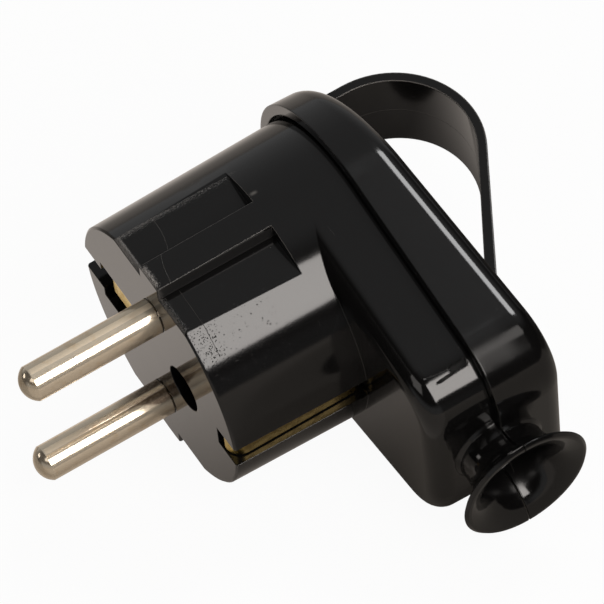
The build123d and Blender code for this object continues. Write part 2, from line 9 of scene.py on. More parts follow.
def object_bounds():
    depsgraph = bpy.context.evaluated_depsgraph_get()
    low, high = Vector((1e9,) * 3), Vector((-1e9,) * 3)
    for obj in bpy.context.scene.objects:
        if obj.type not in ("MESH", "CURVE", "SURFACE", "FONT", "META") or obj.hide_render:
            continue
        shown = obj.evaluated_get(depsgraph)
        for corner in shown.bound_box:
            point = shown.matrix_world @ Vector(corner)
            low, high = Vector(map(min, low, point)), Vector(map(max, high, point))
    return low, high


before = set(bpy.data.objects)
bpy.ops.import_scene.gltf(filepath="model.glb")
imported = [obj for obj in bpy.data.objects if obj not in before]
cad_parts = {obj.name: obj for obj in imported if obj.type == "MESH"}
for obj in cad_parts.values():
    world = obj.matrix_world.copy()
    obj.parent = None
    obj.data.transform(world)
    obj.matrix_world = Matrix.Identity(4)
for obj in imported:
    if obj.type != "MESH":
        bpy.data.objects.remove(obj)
CAD_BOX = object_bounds()

bl_info = {
    "name": "Angled Plug",
    "version": (1, 0, 0),
    "blender": (4, 5, 0),
    "location": "View3D > Sidebar > Plug",
    "description": "Finishes for an angled, earthed plug with a strap handle, and the stage that it lies on",
    "category": "Object",
}

# The plug lies rolled about its pins' direction, so that the flat of its side is down
ROLL = math.radians(9.3)
MM_PER_M = 1000.0

# Places on the upright plug in millimetres: X from the face along the pins, Y to the outlet, Z to the rib
RIB_FOOT = 2.15
FLAT_EDGE = 8.2
FLAT_HEIGHT = 16.1
RECESS_END = -16.4
PIN_HEIGHT = 9.5
FLANGE_END = 34.0
OUTLET_X = -27.65
THROAT_RIM = 5.1
THROAT_WALL = 4.69
STRAP_START = -36.0
HAIRLINE = 0.05

# Hairlines round the head: X = start + lean * Y + bend * Y * Y, between two values of Y
HAIRLINES = (
    {"start": -2.986, "lean": 0.666, "bend": 0.045, "low": -FLAT_EDGE, "high": -RIB_FOOT - 0.15},
    {"start": -2.39, "lean": 0.25, "bend": -0.04, "low": -2.1, "high": 2.1},
    {"start": -2.8, "lean": 0.02, "bend": 0.0, "low": 2.6, "high": 12.0},
)

# How far each mark pales the shells, blurs their gloss, and stands up from them in millimetres
# Paling the edges paints highlights along them, as the head's scuffs partly do too
MARK_PALENESS = {"specks": 0.6, "scratches": 0.06, "scuffs": 0.3, "lines": 0.12, "edges": 0.3}
MARK_BLUR = {"specks": 0.4, "scuffs": 0.3, "gouges": 0.3, "edges": 0.15, "haze": 0.12}
MARK_HEIGHT = {"ripple": 0.012, "scratches": -0.002, "lines": -0.03, "scuffs": 0.004}

# Radius of the fine edges of the small pieces, in metres
METAL_EDGE = 0.00008
SCREW_EDGE = 0.00006
CLAMP_EDGE = 0.00012

# Samples of the rounding of edges, and how alike plain and rounded are where an edge starts and is full
EDGE_SAMPLES = 6
EDGE_STARTS = 0.99
EDGE_FULL = 0.86

# Light and floor: colours, and the floor's half width in metres
WHITE = (1.0, 1.0, 1.0)
BLACK = (0.0, 0.0, 0.0)
WARM_LIGHT = (1.0, 0.95, 0.91)
# Colour of the painted light that glows on the floor in gloss
PAINTED_GLOW_COLOUR = (1.0, 0.9, 0.82)
DIM_FLOOR = (0.335, 0.31, 0.28)
FLOOR_REACH = 3.0

# Softboxes: name, way from the plug, width and height in metres, and colour
SOFTBOXES = (
    ("key", (-0.0958, 0.7429, 0.6626), (0.37, 0.6306), WARM_LIGHT),
    ("wing", (-0.332, 0.502, 0.799), (0.157, 0.245), WARM_LIGHT),
    ("rim", (-0.53, -0.103, 0.842), (0.306, 0.31), WHITE),
    ("side", (0.751, -0.608, 0.259), (0.26, 0.16), WARM_LIGHT),
    ("fill", (0.703, 0.242, 0.669), (0.48, 0.5), WARM_LIGHT),
)


# Shader maths


class Shade:
    """An output socket of a material's nodes. Arithmetic on it adds Math nodes."""

    # Places of the colour sockets on a Mix node
    COLOUR_A, COLOUR_B, COLOUR_RESULT = 6, 7, 2

    def __init__(self, tree, socket=None):
        self.tree = tree
        self.socket = socket

    def make(self, kind, settings=None, values=None, output=0):
        """Adds a node from its type, its settings and the values or links of its sockets."""
        node = self.tree.nodes.new(kind)
        for name, setting in (settings or {}).items():
            setattr(node, name, setting)
        for name, value in (values or {}).items():
            if isinstance(value, Shade):
                self.tree.links.new(value.socket, node.inputs[name])
            else:
                node.inputs[name].default_value = value
        return Shade(self.tree, node.outputs[output])

    def maths(self, operation, *others, clamp=False):
        values = dict(enumerate((self, *others)))
        return self.make("ShaderNodeMath", {"operation": operation, "use_clamp": clamp}, values)

    def __add__(self, other):
        return self.maths("ADD", other)

    def __radd__(self, other):
        return self.maths("ADD", other)

    def __sub__(self, other):
        return self.maths("SUBTRACT", other)

    def __rsub__(self, other):
        return self.make("ShaderNodeMath", {"operation": "SUBTRACT"}, {0: other, 1: self})

    def __mul__(self, other):
        return self.maths("MULTIPLY", other)

    def __rmul__(self, other):
        return self.maths("MULTIPLY", other)

    def __abs__(self):
        return self.maths("ABSOLUTE")

    def most(self, other):
        """The larger of this value and another one."""
        return self.maths("MAXIMUM", other)

    def below(self, other):
        """1 where this value is less than another one, and 0 elsewhere."""
        return self.maths("LESS_THAN", other)

    def clamped(self):
        """This value, held between 0 and 1."""
        return self.maths("ADD", 0.0, clamp=True)

    def between(self, low, high):
        """0 at low, 1 at high and an eased slope between; low may be the larger."""
        return self.make(
            "ShaderNodeMapRange",
            {"interpolation_type": "SMOOTHSTEP"},
            {"Value": self, "From Min": low, "From Max": high, "To Min": 0.0, "To Max": 1.0},
        )

    def axes(self):
        """The X, Y and Z of a vector."""
        node = self.make("ShaderNodeSeparateXYZ", values={"Vector": self}).socket.node
        return [Shade(self.tree, output) for output in node.outputs]

    def blend(self, colour_a, colour_b):
        """Colour A where this value is 0 and colour B where it is 1."""
        values = {"Factor": self, self.COLOUR_A: colour_a, self.COLOUR_B: colour_b}
        return self.make("ShaderNodeMix", {"data_type": "RGBA"}, values, output=self.COLOUR_RESULT)

    def noise(self, scale, detail=3.0, roughness=0.55):
        """Cloudy values about 0.5 over a vector."""
        values = {"Vector": self, "Scale": scale, "Detail": detail, "Roughness": roughness}
        return self.make("ShaderNodeTexNoise", values=values)

    def stretched(self, x, y, z, turn=(0.0, 0.0, 0.0)):
        """A vector scaled by each axis and turned."""
        values = {"Vector": self, "Rotation": turn, "Scale": (x, y, z)}
        return self.make("ShaderNodeMapping", values=values)

    def over(self, surface_a, surface_b):
        """Surface A where this value is 0 and surface B where it is 1."""
        return self.make("ShaderNodeMixShader", values={0: self, 1: surface_a, 2: surface_b})


def opaque(colour, shade=1.0):
    """A colour, lightened or darkened, as a colour socket takes it."""
    return (*(part * shade for part in colour), 1.0)


def new_finish(name):
    """An empty material with its surface node, and the plug's own coordinates in millimetres."""
    material = bpy.data.materials.new(name)
    material.use_nodes = True
    tree = material.node_tree
    tree.nodes.clear()
    output = tree.nodes.new("ShaderNodeOutputMaterial")
    surface = tree.nodes.new("ShaderNodeBsdfPrincipled")
    tree.links.new(surface.outputs["BSDF"], output.inputs["Surface"])
    place = Shade(tree).make("ShaderNodeTexCoord", output="Object")
    return material, surface, place.stretched(MM_PER_M, MM_PER_M, MM_PER_M, turn=(ROLL, 0.0, 0.0))


def lay(surface, **links):
    """Feeds the surface node's sockets, named with spaces as underscores."""
    for name, value in links.items():
        socket = surface.inputs[name.replace("_", " ")]
        if isinstance(value, Shade):
            value.tree.links.new(value.socket, socket)
        else:
            socket.default_value = value


def rounded_edges(spot, radius):
    """The surface's direction with its edges rounded by a radius in metres, and 1 on those edges."""
    rounded = spot.make("ShaderNodeBevel", {"samples": EDGE_SAMPLES}, {"Radius": radius})
    plain = spot.make("ShaderNodeNewGeometry", output="Normal")
    product = {"operation": "DOT_PRODUCT"}
    alike = spot.make("ShaderNodeVectorMath", product, {0: rounded, 1: plain}, output="Value")
    return rounded, alike.between(EDGE_STARTS, EDGE_FULL)


def relief(height, rounded):
    """Bump by a height in millimetres over a surface's rounded edges."""
    values = {"Strength": 1.0, "Distance": 1.0 / MM_PER_M, "Height": height, "Normal": rounded}
    return height.make("ShaderNodeBump", values=values)


# Marks, which are 1 where they lie and 0 beside them


def dust(spot, cell, size, share):
    """Small round specks, one in each chosen cell, from under a third of the size upwards."""
    cells = {"feature": "F1", "distance": "EUCLIDEAN"}
    values = {"Vector": spot, "Scale": 1.0 / cell, "Randomness": 1.0}
    node = spot.make("ShaderNodeTexVoronoi", cells, values).socket.node
    distance = Shade(spot.tree, node.outputs["Distance"])
    chance = Shade(spot.tree, node.outputs["Color"]).axes()[0]
    least = size * 0.3
    grain = chance * ((size - least) / share) + least
    return (distance * cell).below(grain) * chance.below(share)


def scattered_scratches(spot, spacing, width, turn, share):
    """Thin scattered scratches along one direction."""
    drawn = spot.stretched(1.0, 0.12, 0.12, turn)
    values = {"Vector": drawn, "Scale": 1.0 / spacing}
    edge = spot.make("ShaderNodeTexVoronoi", {"feature": "DISTANCE_TO_EDGE"}, values)
    chosen = spot.noise(scale=0.22, detail=2.0).between(1.0 - share, 1.02 - share)
    return edge.between(width / spacing, 0.0) * chosen


def thin_line(value, width):
    """1 on a thin line where a value is 0."""
    return abs(value).between(width, width * 0.3)


def span(value, low, high, soft):
    """1 between two values, eased over a soft edge."""
    return value.between(low - soft, low + soft) * value.between(high + soft, high - soft)


def patch(spot, **sides):
    """1 inside a box on the plug: for each axis named, its two ends and their soft edge."""
    inside = 1.0
    for axis, value in zip("xyz", spot.axes()):
        if axis in sides:
            inside = span(value, *sides[axis]) * inside
    return inside


def rubbed(grain, nearness):
    """Sandy wear: all over where nearness is 1, thinning out to none where it is 0."""
    return (grain + nearness * 0.3).between(0.72, 0.86)


def throat(spot):
    """The inside of the cable outlet, which gathers a film of dust."""
    x, y, z = spot.axes()
    off = x - OUTLET_X
    inside = (off * off + z * z).between(THROAT_RIM**2, THROAT_WALL**2)
    return inside * y.between(FLANGE_END - 1.0, FLANGE_END)


def hairline(spot, start, lean, bend, low, high):
    """A curved scratch across the head."""
    x, y = spot.axes()[:2]
    return thin_line(x - start - y * lean - y * y * bend, HAIRLINE) * span(y, low, high, HAIRLINE)


def head_wear_and_highlights(spot, grain):
    """Sandy wear along the far recess's outer edge, the face's edge and the rib's end, also painting the
    highlights along them, and a pale chip that is wear and a painted highlight.
    """
    x, y, z = spot.axes()
    recess_edge = y.between(-6.9, -8.3) * y.between(-8.6, -8.3) * (x * 0.02 + 1.0)
    face_edge = x.between(-1.5, -0.1) * span(y, -2.0, FLAT_EDGE, 0.4)
    flat_end = x.between(-0.85, -0.6) * span(y, -FLAT_EDGE, -RIB_FOOT - 0.15, 0.1)
    rib_end = x.between(-1.3, -0.4) * span(y, -1.9, 1.7, 0.3) * z.between(17.2, 17.5)
    # A pale chip past the recess's end: wear, and a painted highlight
    chip = patch(spot, x=(-17.5, -16.7, 0.3), y=(-3.4, -3.0, 0.25))
    edges = recess_edge.most(face_edge).most(flat_end) * x.between(RECESS_END - 1.6, RECESS_END - 0.6)
    return rubbed(grain, edges).most(chip) + rubbed(grain, rib_end) * 2.4 + flat_end * 0.5


def scraped_corner(spot, grain):
    """A scrape on the flange's corner: a rough blob with a spike, and a finer stroke above it."""
    x, y = spot.axes()[:2]
    blob = patch(spot, x=(-26.9, -24.6, 0.4), y=(28.95, 29.8, 0.3))
    spike = abs(y - 29.8 - (x + 24.2) * 0.06).between(0.25, 0.1) * span(x, -24.6, -22.6, 0.5)
    stroke = thin_line(y - 28.75 + (x + 21.0) * 0.13, width=0.12) * span(x, -24.6, -21.4, 0.3)
    scrape = (blob + spike).clamped()
    rough = (grain + scrape * 0.5).between(0.62, 0.9) * scrape.between(0.0, 0.2)
    return rough.most(stroke * 0.6)


def pepper(spot):
    """Small pits on the head's near side, thick by the face and strewn further off."""
    x, y = spot.axes()[:2]
    near_face = x.between(-4.6, -1.6) * span(y, 8.6, 12.4, 0.8)
    thick = (spot.noise(scale=2.0, detail=2.0) + near_face * 0.5).between(0.6, 0.85)
    strewn = thick * span(x, -10.0, -1.0, 3.0) * y.between(7.0, 9.0)
    return dust(spot, cell=0.2, size=0.095, share=0.8) * strewn


def head_marks(spot):
    """Marks of the front body, by kind."""
    x, z = spot.axes()[::2]
    grain = spot.noise(scale=8.0, detail=3.0, roughness=0.7)
    cloud = spot.noise(scale=0.9, detail=3.0)
    upper_side = z.between(9.0, 11.0) * x.between(-0.02, -0.06)
    flange = patch(spot, x=(-27.0, -25.4, 0.2), y=(25.4, 28.2, 0.3))
    flange_dust = dust(spot, cell=0.7, size=0.09, share=0.4) * flange
    rib_side = patch(spot, y=(RIB_FOOT - 0.2, RIB_FOOT + 0.15, 0.1), z=(FLAT_HEIGHT - 0.1, 17.8, 0.1))
    face = x.between(-0.04, -0.01)
    # The rib's rounded edges are paled: wear, and painted highlights along them
    rib_edges = z.between(FLAT_HEIGHT + 0.6, FLAT_HEIGHT + 1.1) * span(x, RECESS_END - 1.1, -0.4, 0.2)
    return {
        "scuffs": (head_wear_and_highlights(spot, grain) + flange_dust) * upper_side,
        "lines": sum(hairline(spot, **course) for course in HAIRLINES) * upper_side,
        "haze": rib_side * 6.0 + throat(spot) * 1.3 - face * 0.5,
        "gouges": scraped_corner(spot, grain).most(pepper(spot)) * upper_side,
        "edges": rib_edges * (cloud * 1.6 + 0.6),
    }


def cover_marks(spot):
    """Marks of the rear cover, by kind: the strap's middle line, its edges paled with wear and painted
    highlight, and a faintly hazy corner.
    """
    x, y, z = spot.axes()
    cloud = spot.noise(scale=2.2, detail=4.0, roughness=0.7)
    corner = span(y, 28.0, 32.0, 1.5) * z.between(8.0, 11.0) * x.between(-34.0, -31.0)
    return {
        "scuffs": cloud.between(0.66, 0.74) * span(x, -22.0, -17.0, 1.0) * 0.35,
        "lines": thin_line(z, width=0.07) * x.between(STRAP_START - 0.2, STRAP_START - 0.6) * 0.7,
        "haze": corner * 0.8 + throat(spot) * 1.3,
        # The strap's rounded edges are paled: wear, and painted highlights along them
        "edges": x.between(STRAP_START, STRAP_START - 1.5) * (cloud * 1.6 + 1.2),
    }


def weighed(marks, weights):
    """The marks' sum, each times its weight."""
    return sum(marks[name] * weight for name, weight in weights.items() if name in marks)


# Finishes


def gloss_plastic(name, edge_radius, own_marks):
    """Black moulded plastic: mirror gloss, faint ripple, dust, scratches and a shell's own marks."""
    look = bpy.context.scene.plug_looks
    material, surface, spot = new_finish(name)
    rounded, edges = rounded_edges(spot, edge_radius)
    grain = spot.noise(scale=7.0, detail=3.0)
    marks = own_marks(spot)
    # Paled edges, wear and painted highlight, lie only on the rounded edges
    marks["edges"] = marks["edges"] * edges
    marks["ripple"] = spot.noise(scale=0.16, detail=2.0)
    marks["specks"] = dust(spot, cell=2.6, size=0.07, share=0.22)
    marks["scratches"] = scattered_scratches(spot, spacing=7.0, width=0.03, turn=(0.2, 0.5, 0.3), share=0.3)
    pale = weighed(marks, MARK_PALENESS).clamped()
    height = weighed(marks, MARK_HEIGHT) + grain * 0.0004
    if "gouges" in marks:
        height = height - marks["gouges"] * grain * 0.3
    lay(
        surface,
        Base_Color=pale.blend(opaque(look.plastic_colour), opaque(look.dust_and_highlight_colour)),
        Roughness=look.plastic_roughness + (grain - 0.5) * 0.03 + weighed(marks, MARK_BLUR),
        IOR=look.plastic_ior,
        Normal=relief(height, rounded),
    )
    return material


def nickel_finish():
    """Warm nickel plate: polished, with a satin bloom, turned rings, rubbed spots and painted shade by the
    face on the lower pin.
    """
    look = bpy.context.scene.plug_looks
    material, surface, spot = new_finish("pin_nickel_plate")
    x, y, z = spot.axes()
    rings = spot.stretched(9.0, 0.5, 0.5).noise(scale=1.0, roughness=0.6)
    drawn = spot.stretched(0.3, 5.0, 5.0).noise(scale=1.0, roughness=0.6)
    cloud = spot.noise(scale=0.5, detail=4.0, roughness=0.65)
    pits = dust(spot, cell=1.6, size=0.06, share=0.3)

    # A satin strip along the top of each pin, sandy on the lower pin, with painted shade beside it by the
    # face
    strip = span(y, -0.55, 0.3, 0.08) * x.between(17.6, 17.2)
    lower_pin = z.between(0.0, -4.0)
    sandy = lower_pin * span(y, -0.45, 0.2, 0.15) * x.between(14.0, 6.0)
    aside = (z + PIN_HEIGHT) * 0.49 - y * 0.87
    painted_shade_edge = x.between(1.2, 4.6) * 1.25 - 0.85
    # Painted shade: the lower pin darkened by the face, where it mirrors the dark head
    painted_shade = lower_pin * (aside - painted_shade_edge).between(0.0, 0.4) * x.between(8.0, 2.5) * (1.0 - sandy)
    mottle = spot.noise(scale=2.6, detail=5.0, roughness=0.7).between(0.3, 0.6) * 0.3 + 0.7
    mottled_painted_shade = mottle * painted_shade

    plate = cloud.between(0.5, 0.72).blend(opaque(look.nickel_colour), opaque(look.nickel_worn_colour))
    colour = (mottled_painted_shade * 0.95).blend(plate, opaque(look.painted_shade_colour))
    roughness = look.nickel_roughness + (rings - 0.5) * 0.06 + (drawn - 0.5) * 0.06 + mottled_painted_shade * 0.1
    grit = spot.noise(scale=3.2, detail=2.0) * sandy
    height = rings * 0.0012 + drawn * 0.0004 - pits * 0.004 + grit * 0.4
    normal = relief(height, rounded_edges(spot, METAL_EDGE)[0])
    lay(surface, Base_Color=colour, Roughness=roughness, Metallic=1.0, Normal=normal)

    satin = roughness + 0.4 + strip * 0.15 + sandy * 0.15
    values = {"Base Color": colour, "Roughness": satin, "Metallic": 1.0, "Normal": normal}
    bloom = spot.make("ShaderNodeBsdfPrincipled", values=values)
    share = look.nickel_bloom + (cloud - 0.5) * 0.3 + strip * 0.45 + sandy * 0.3
    polish = surface.outputs["BSDF"]
    output = polish.links[0].to_socket
    spot.tree.links.new(share.over(Shade(spot.tree, polish), bloom).socket, output)
    return material


def brass_finish():
    """Pressed brass strip, dulled in patches, with the marks of its rolling, and painted shade deeper inside
    the head.
    """
    look = bpy.context.scene.plug_looks
    material, surface, spot = new_finish("contact_brass_strip")
    # Painted shade: the strip turns to dark dull brass more than 2 mm inside the head
    painted_shade_inside_head = spot.axes()[0].between(-0.3, -2.0)
    patches = spot.noise(scale=0.7, detail=4.0, roughness=0.65).between(0.42, 0.68)
    rolled = spot.stretched(0.4, 5.0, 5.0).noise(scale=1.0)
    pits = dust(spot, cell=0.9, size=0.09, share=0.35)
    dull_and_shaded = (patches * 0.12 + pits * 0.15 + rolled * 0.1 + painted_shade_inside_head * 0.7).clamped()
    lay(
        surface,
        Base_Color=dull_and_shaded.blend(opaque(look.brass_colour), opaque(look.brass_dull_and_shade_colour)),
        Roughness=look.brass_roughness + patches * 0.16 + (rolled - 0.5) * 0.12,
        Metallic=1.0,
        Normal=relief(rolled * 0.002 - pits * 0.006, rounded_edges(spot, METAL_EDGE)[0]),
    )
    return material


def zinc_finish():
    """Zinc plate on small steel screws: grey, faintly clouded, with turned rings."""
    look = bpy.context.scene.plug_looks
    material, surface, spot = new_finish("screw_zinc_plate")
    cloud = spot.noise(scale=1.3, detail=4.0, roughness=0.6)
    turned = spot.stretched(8.0, 0.6, 0.6).noise(scale=1.0, detail=2.0)
    bright, dim = opaque(look.zinc_colour), opaque(look.zinc_colour, shade=0.72)
    lay(
        surface,
        Base_Color=cloud.between(0.4, 0.7).blend(bright, dim),
        Roughness=look.zinc_roughness + (cloud - 0.5) * 0.16 + (turned - 0.5) * 0.1,
        Metallic=1.0,
        Normal=relief(turned * 0.002, rounded_edges(spot, SCREW_EDGE)[0]),
    )
    return material


def satin_plastic():
    """Satin black plastic of the cord clamp, with a fine sparked grain."""
    look = bpy.context.scene.plug_looks
    material, surface, spot = new_finish("clamp_satin_plastic")
    grain = spot.noise(scale=9.0, detail=4.0, roughness=0.7)
    cloud = spot.noise(scale=0.6)
    deep, faded = opaque(look.clamp_colour), opaque(look.clamp_colour, shade=1.35)
    lay(
        surface,
        Base_Color=cloud.between(0.35, 0.7).blend(deep, faded),
        Roughness=look.clamp_roughness + (grain - 0.5) * 0.2,
        Normal=relief(grain * 0.01, rounded_edges(spot, CLAMP_EDGE)[0]),
    )
    return material


def dress(material, *names):
    """Gives CAD nodes a finish in their own material slot."""
    for name in names:
        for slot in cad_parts[name].material_slots:
            slot.material = material


# Floor, room and lamps


def floor_finish(stage):
    """Pale floor that shows white and keeps a soft shadow, in gloss and glass too; in gloss it has painted
    light and painted shade.
    """
    material = bpy.data.materials.new("floor_pale")
    material.use_nodes = True
    tree = material.node_tree
    tree.nodes.clear()
    blank = Shade(tree)

    def matt(colour):
        return blank.make("ShaderNodeBsdfDiffuse", values={"Color": opaque(colour)})

    def glow(colour):
        return blank.make("ShaderNodeEmission", values={"Color": opaque(colour), "Strength": 1.0})

    paths = blank.make("ShaderNodeLightPath").socket.node.outputs
    seen = Shade(tree, paths["Is Camera Ray"])
    mirrored = Shade(tree, paths["Is Glossy Ray"]).most(Shade(tree, paths["Is Transmission Ray"]))
    shown = (seen * stage.floor_glow).over(matt(stage.floor_colour), glow(WHITE))

    # In gloss the floor is dim, with painted light behind the plug and a little by the pins, and painted
    # shade beyond the strap
    x, y = blank.make("ShaderNodeTexCoord", output="Object").axes()[:2]
    near = x.between(-0.08, -0.02) * y.between(-0.14, -0.05)
    # Painted light: a glowing patch on the floor behind the plug, seen only in gloss
    behind = y.between(0.02, -0.022) * x.between(0.04, 0.01) * (near * 0.65 + 0.35)
    # Painted light: a faint glowing patch on the floor by the pins
    painted_light_by_pins = (x + y * 0.256).between(0.002, 0.009) * y.between(0.0, 0.015) * 0.2
    # Painted shade: the floor turns black beyond the strap in gloss
    painted_shade_beyond_strap = (abs(y + 0.01) + x * 0.6).between(0.0, -0.03)
    painted_floor_light = (behind * stage.floor_painted_light_share).most(painted_light_by_pins).over(matt(DIM_FLOOR), glow(PAINTED_GLOW_COLOUR))
    gloss = (painted_shade_beyond_strap * 0.9).over(painted_floor_light, matt(BLACK))

    output = tree.nodes.new("ShaderNodeOutputMaterial")
    tree.links.new(mirrored.over(shown, gloss).socket, output.inputs["Surface"])
    return material


def studio_world():
    """White to the camera; a dim room for the light and the gloss, paler behind the plug and overhead."""
    world = bpy.data.worlds.new("studio")
    world.use_nodes = True
    tree = world.node_tree
    tree.nodes.clear()
    blank = Shade(tree)
    x, y, z = blank.make("ShaderNodeTexCoord", output="Generated").axes()
    behind = y.between(-0.3, -0.45) * x.between(0.65, 0.35) * (0.4 - z * 0.2)
    overhead = (z * 0.87 - x * 0.35 - y * 0.35).between(0.62, 0.9) * 0.27
    before = y.between(-0.3, 0.05) * x.between(-0.35, 0.05) * z.between(0.34, 0.14) * 0.3
    tone = behind.most(overhead).most(before)
    room, white = (
        blank.make("ShaderNodeBackground", values={"Color": opaque(WHITE), "Strength": strength})
        for strength in (tone, 1.0)
    )
    seen = blank.make("ShaderNodeLightPath", output="Is Camera Ray")
    output = tree.nodes.new("ShaderNodeOutputWorld")
    tree.links.new(seen.over(room, white).socket, output.inputs["Surface"])
    return world


def softbox(name, way, size, power, colour, target, distance):
    """A rectangular lamp that faces a target from a direction."""
    lamp = bpy.data.lights.new(name, "AREA")
    lamp.shape = "RECTANGLE"
    lamp.size, lamp.size_y = size
    lamp.energy = power
    lamp.color = colour
    box = bpy.data.objects.new(name, lamp)
    away = Vector(way).normalized()
    box.location = target + away * distance
    box.rotation_euler = away.to_track_quat("Z", "Y").to_euler()
    bpy.context.scene.collection.objects.link(box)


def floor_sheet(stage, height):
    """A flat floor at a height, in its pale finish."""
    sheet = bmesh.new()
    bmesh.ops.create_grid(sheet, x_segments=4, y_segments=4, size=FLOOR_REACH)
    bmesh.ops.translate(sheet, verts=sheet.verts, vec=(0.0, 0.0, height))
    mesh = bpy.data.meshes.new("floor")
    sheet.to_mesh(mesh)
    sheet.free()
    mesh.materials.append(floor_finish(stage))
    floor = bpy.data.objects.new("floor", mesh)
    bpy.context.scene.collection.objects.link(floor)
    return floor


def photo_camera(stage):
    """The camera, turned to its aim by azimuth, elevation and roll."""
    eye = bpy.data.cameras.new("photo_view")
    eye.sensor_width = stage.sensor
    eye.lens = stage.lens
    camera = bpy.data.objects.new("photo_view", eye)
    quarter = math.pi / 2
    turn = (
        Matrix.Rotation(stage.camera_azimuth + quarter, 4, "Z")
        @ Matrix.Rotation(quarter - stage.camera_elevation, 4, "X")
        @ Matrix.Rotation(stage.camera_roll, 4, "Z")
    )
    back = Matrix.Translation((0.0, 0.0, stage.camera_distance))
    camera.matrix_world = Matrix.Translation(stage.camera_aim) @ turn @ back
    bpy.context.scene.collection.objects.link(camera)
    return camera


# Sizes and colours that a user may change


class PlugLooks(bpy.types.PropertyGroup):
    """Colours and finish of the plug's materials."""

    plastic_colour: FloatVectorProperty(
        name="Plastic", description="Black of both shells",
        subtype="COLOR", default=(0.0042, 0.004, 0.004), min=0, max=1,
    )
    # Colour of dust and scuffs, and of the painted highlights on paled edges
    dust_and_highlight_colour: FloatVectorProperty(
        name="Dust", description="Specks and scuffs on the shells",
        subtype="COLOR", default=(0.30, 0.28, 0.26), min=0, max=1,
    )
    plastic_roughness: FloatProperty(
        name="Plastic roughness", description="Blur of the shells' gloss",
        subtype="FACTOR", default=0.105, min=0, max=1,
    )
    plastic_ior: FloatProperty(
        name="Plastic index", description="Index of refraction of the shells",
        default=1.5, min=1, max=2,
    )
    body_edge: FloatProperty(
        name="Body edge", description="Radius of the front body's fine edges",
        subtype="DISTANCE", unit="LENGTH", precision=5, default=0.00016, min=0, max=0.001,
    )
    cover_edge: FloatProperty(
        name="Cover edge", description="Radius of the rear cover's fine edges",
        subtype="DISTANCE", unit="LENGTH", precision=5, default=0.0003, min=0, max=0.001,
    )
    nickel_colour: FloatVectorProperty(
        name="Nickel", description="Plate on the pins",
        subtype="COLOR", default=(0.88, 0.77, 0.61), min=0, max=1,
    )
    nickel_worn_colour: FloatVectorProperty(
        name="Rubbed nickel", description="Plate where it is rubbed",
        subtype="COLOR", default=(0.80, 0.66, 0.48), min=0, max=1,
    )
    # Colour of the painted shade on the lower pin by the face
    painted_shade_colour: FloatVectorProperty(
        name="Tarnish", description="Stained plate by the face",
        subtype="COLOR", default=(0.16, 0.11, 0.075), min=0, max=1,
    )
    nickel_roughness: FloatProperty(
        name="Nickel roughness", description="Blur of the pins' gloss",
        subtype="FACTOR", default=0.13, min=0, max=1,
    )
    nickel_bloom: FloatProperty(
        name="Nickel bloom", description="Share of satin in the pins' gloss",
        subtype="FACTOR", default=0.36, min=0, max=1,
    )
    brass_colour: FloatVectorProperty(
        name="Brass", description="Earth contact where it is bright",
        subtype="COLOR", default=(0.87, 0.63, 0.17), min=0, max=1,
    )
    # Colour of dulled brass, also used for the painted shade inside the head
    brass_dull_and_shade_colour: FloatVectorProperty(
        name="Dull brass", description="Earth contact where it is dulled",
        subtype="COLOR", default=(0.125, 0.08, 0.027), min=0, max=1,
    )
    brass_roughness: FloatProperty(
        name="Brass roughness", description="Blur of the earth contact's gloss where it is bright",
        subtype="FACTOR", default=0.24, min=0, max=1,
    )
    zinc_colour: FloatVectorProperty(
        name="Zinc", description="Plate on the screws and the nut",
        subtype="COLOR", default=(0.62, 0.62, 0.60), min=0, max=1,
    )
    zinc_roughness: FloatProperty(
        name="Zinc roughness", description="Blur of the gloss of the screws and the nut",
        subtype="FACTOR", default=0.28, min=0, max=1,
    )
    clamp_colour: FloatVectorProperty(
        name="Clamp", description="Black of the cord clamp",
        subtype="COLOR", default=(0.03, 0.03, 0.032), min=0, max=1,
    )
    clamp_roughness: FloatProperty(
        name="Clamp roughness", description="Blur of the cord clamp's gloss",
        subtype="FACTOR", default=0.42, min=0, max=1,
    )


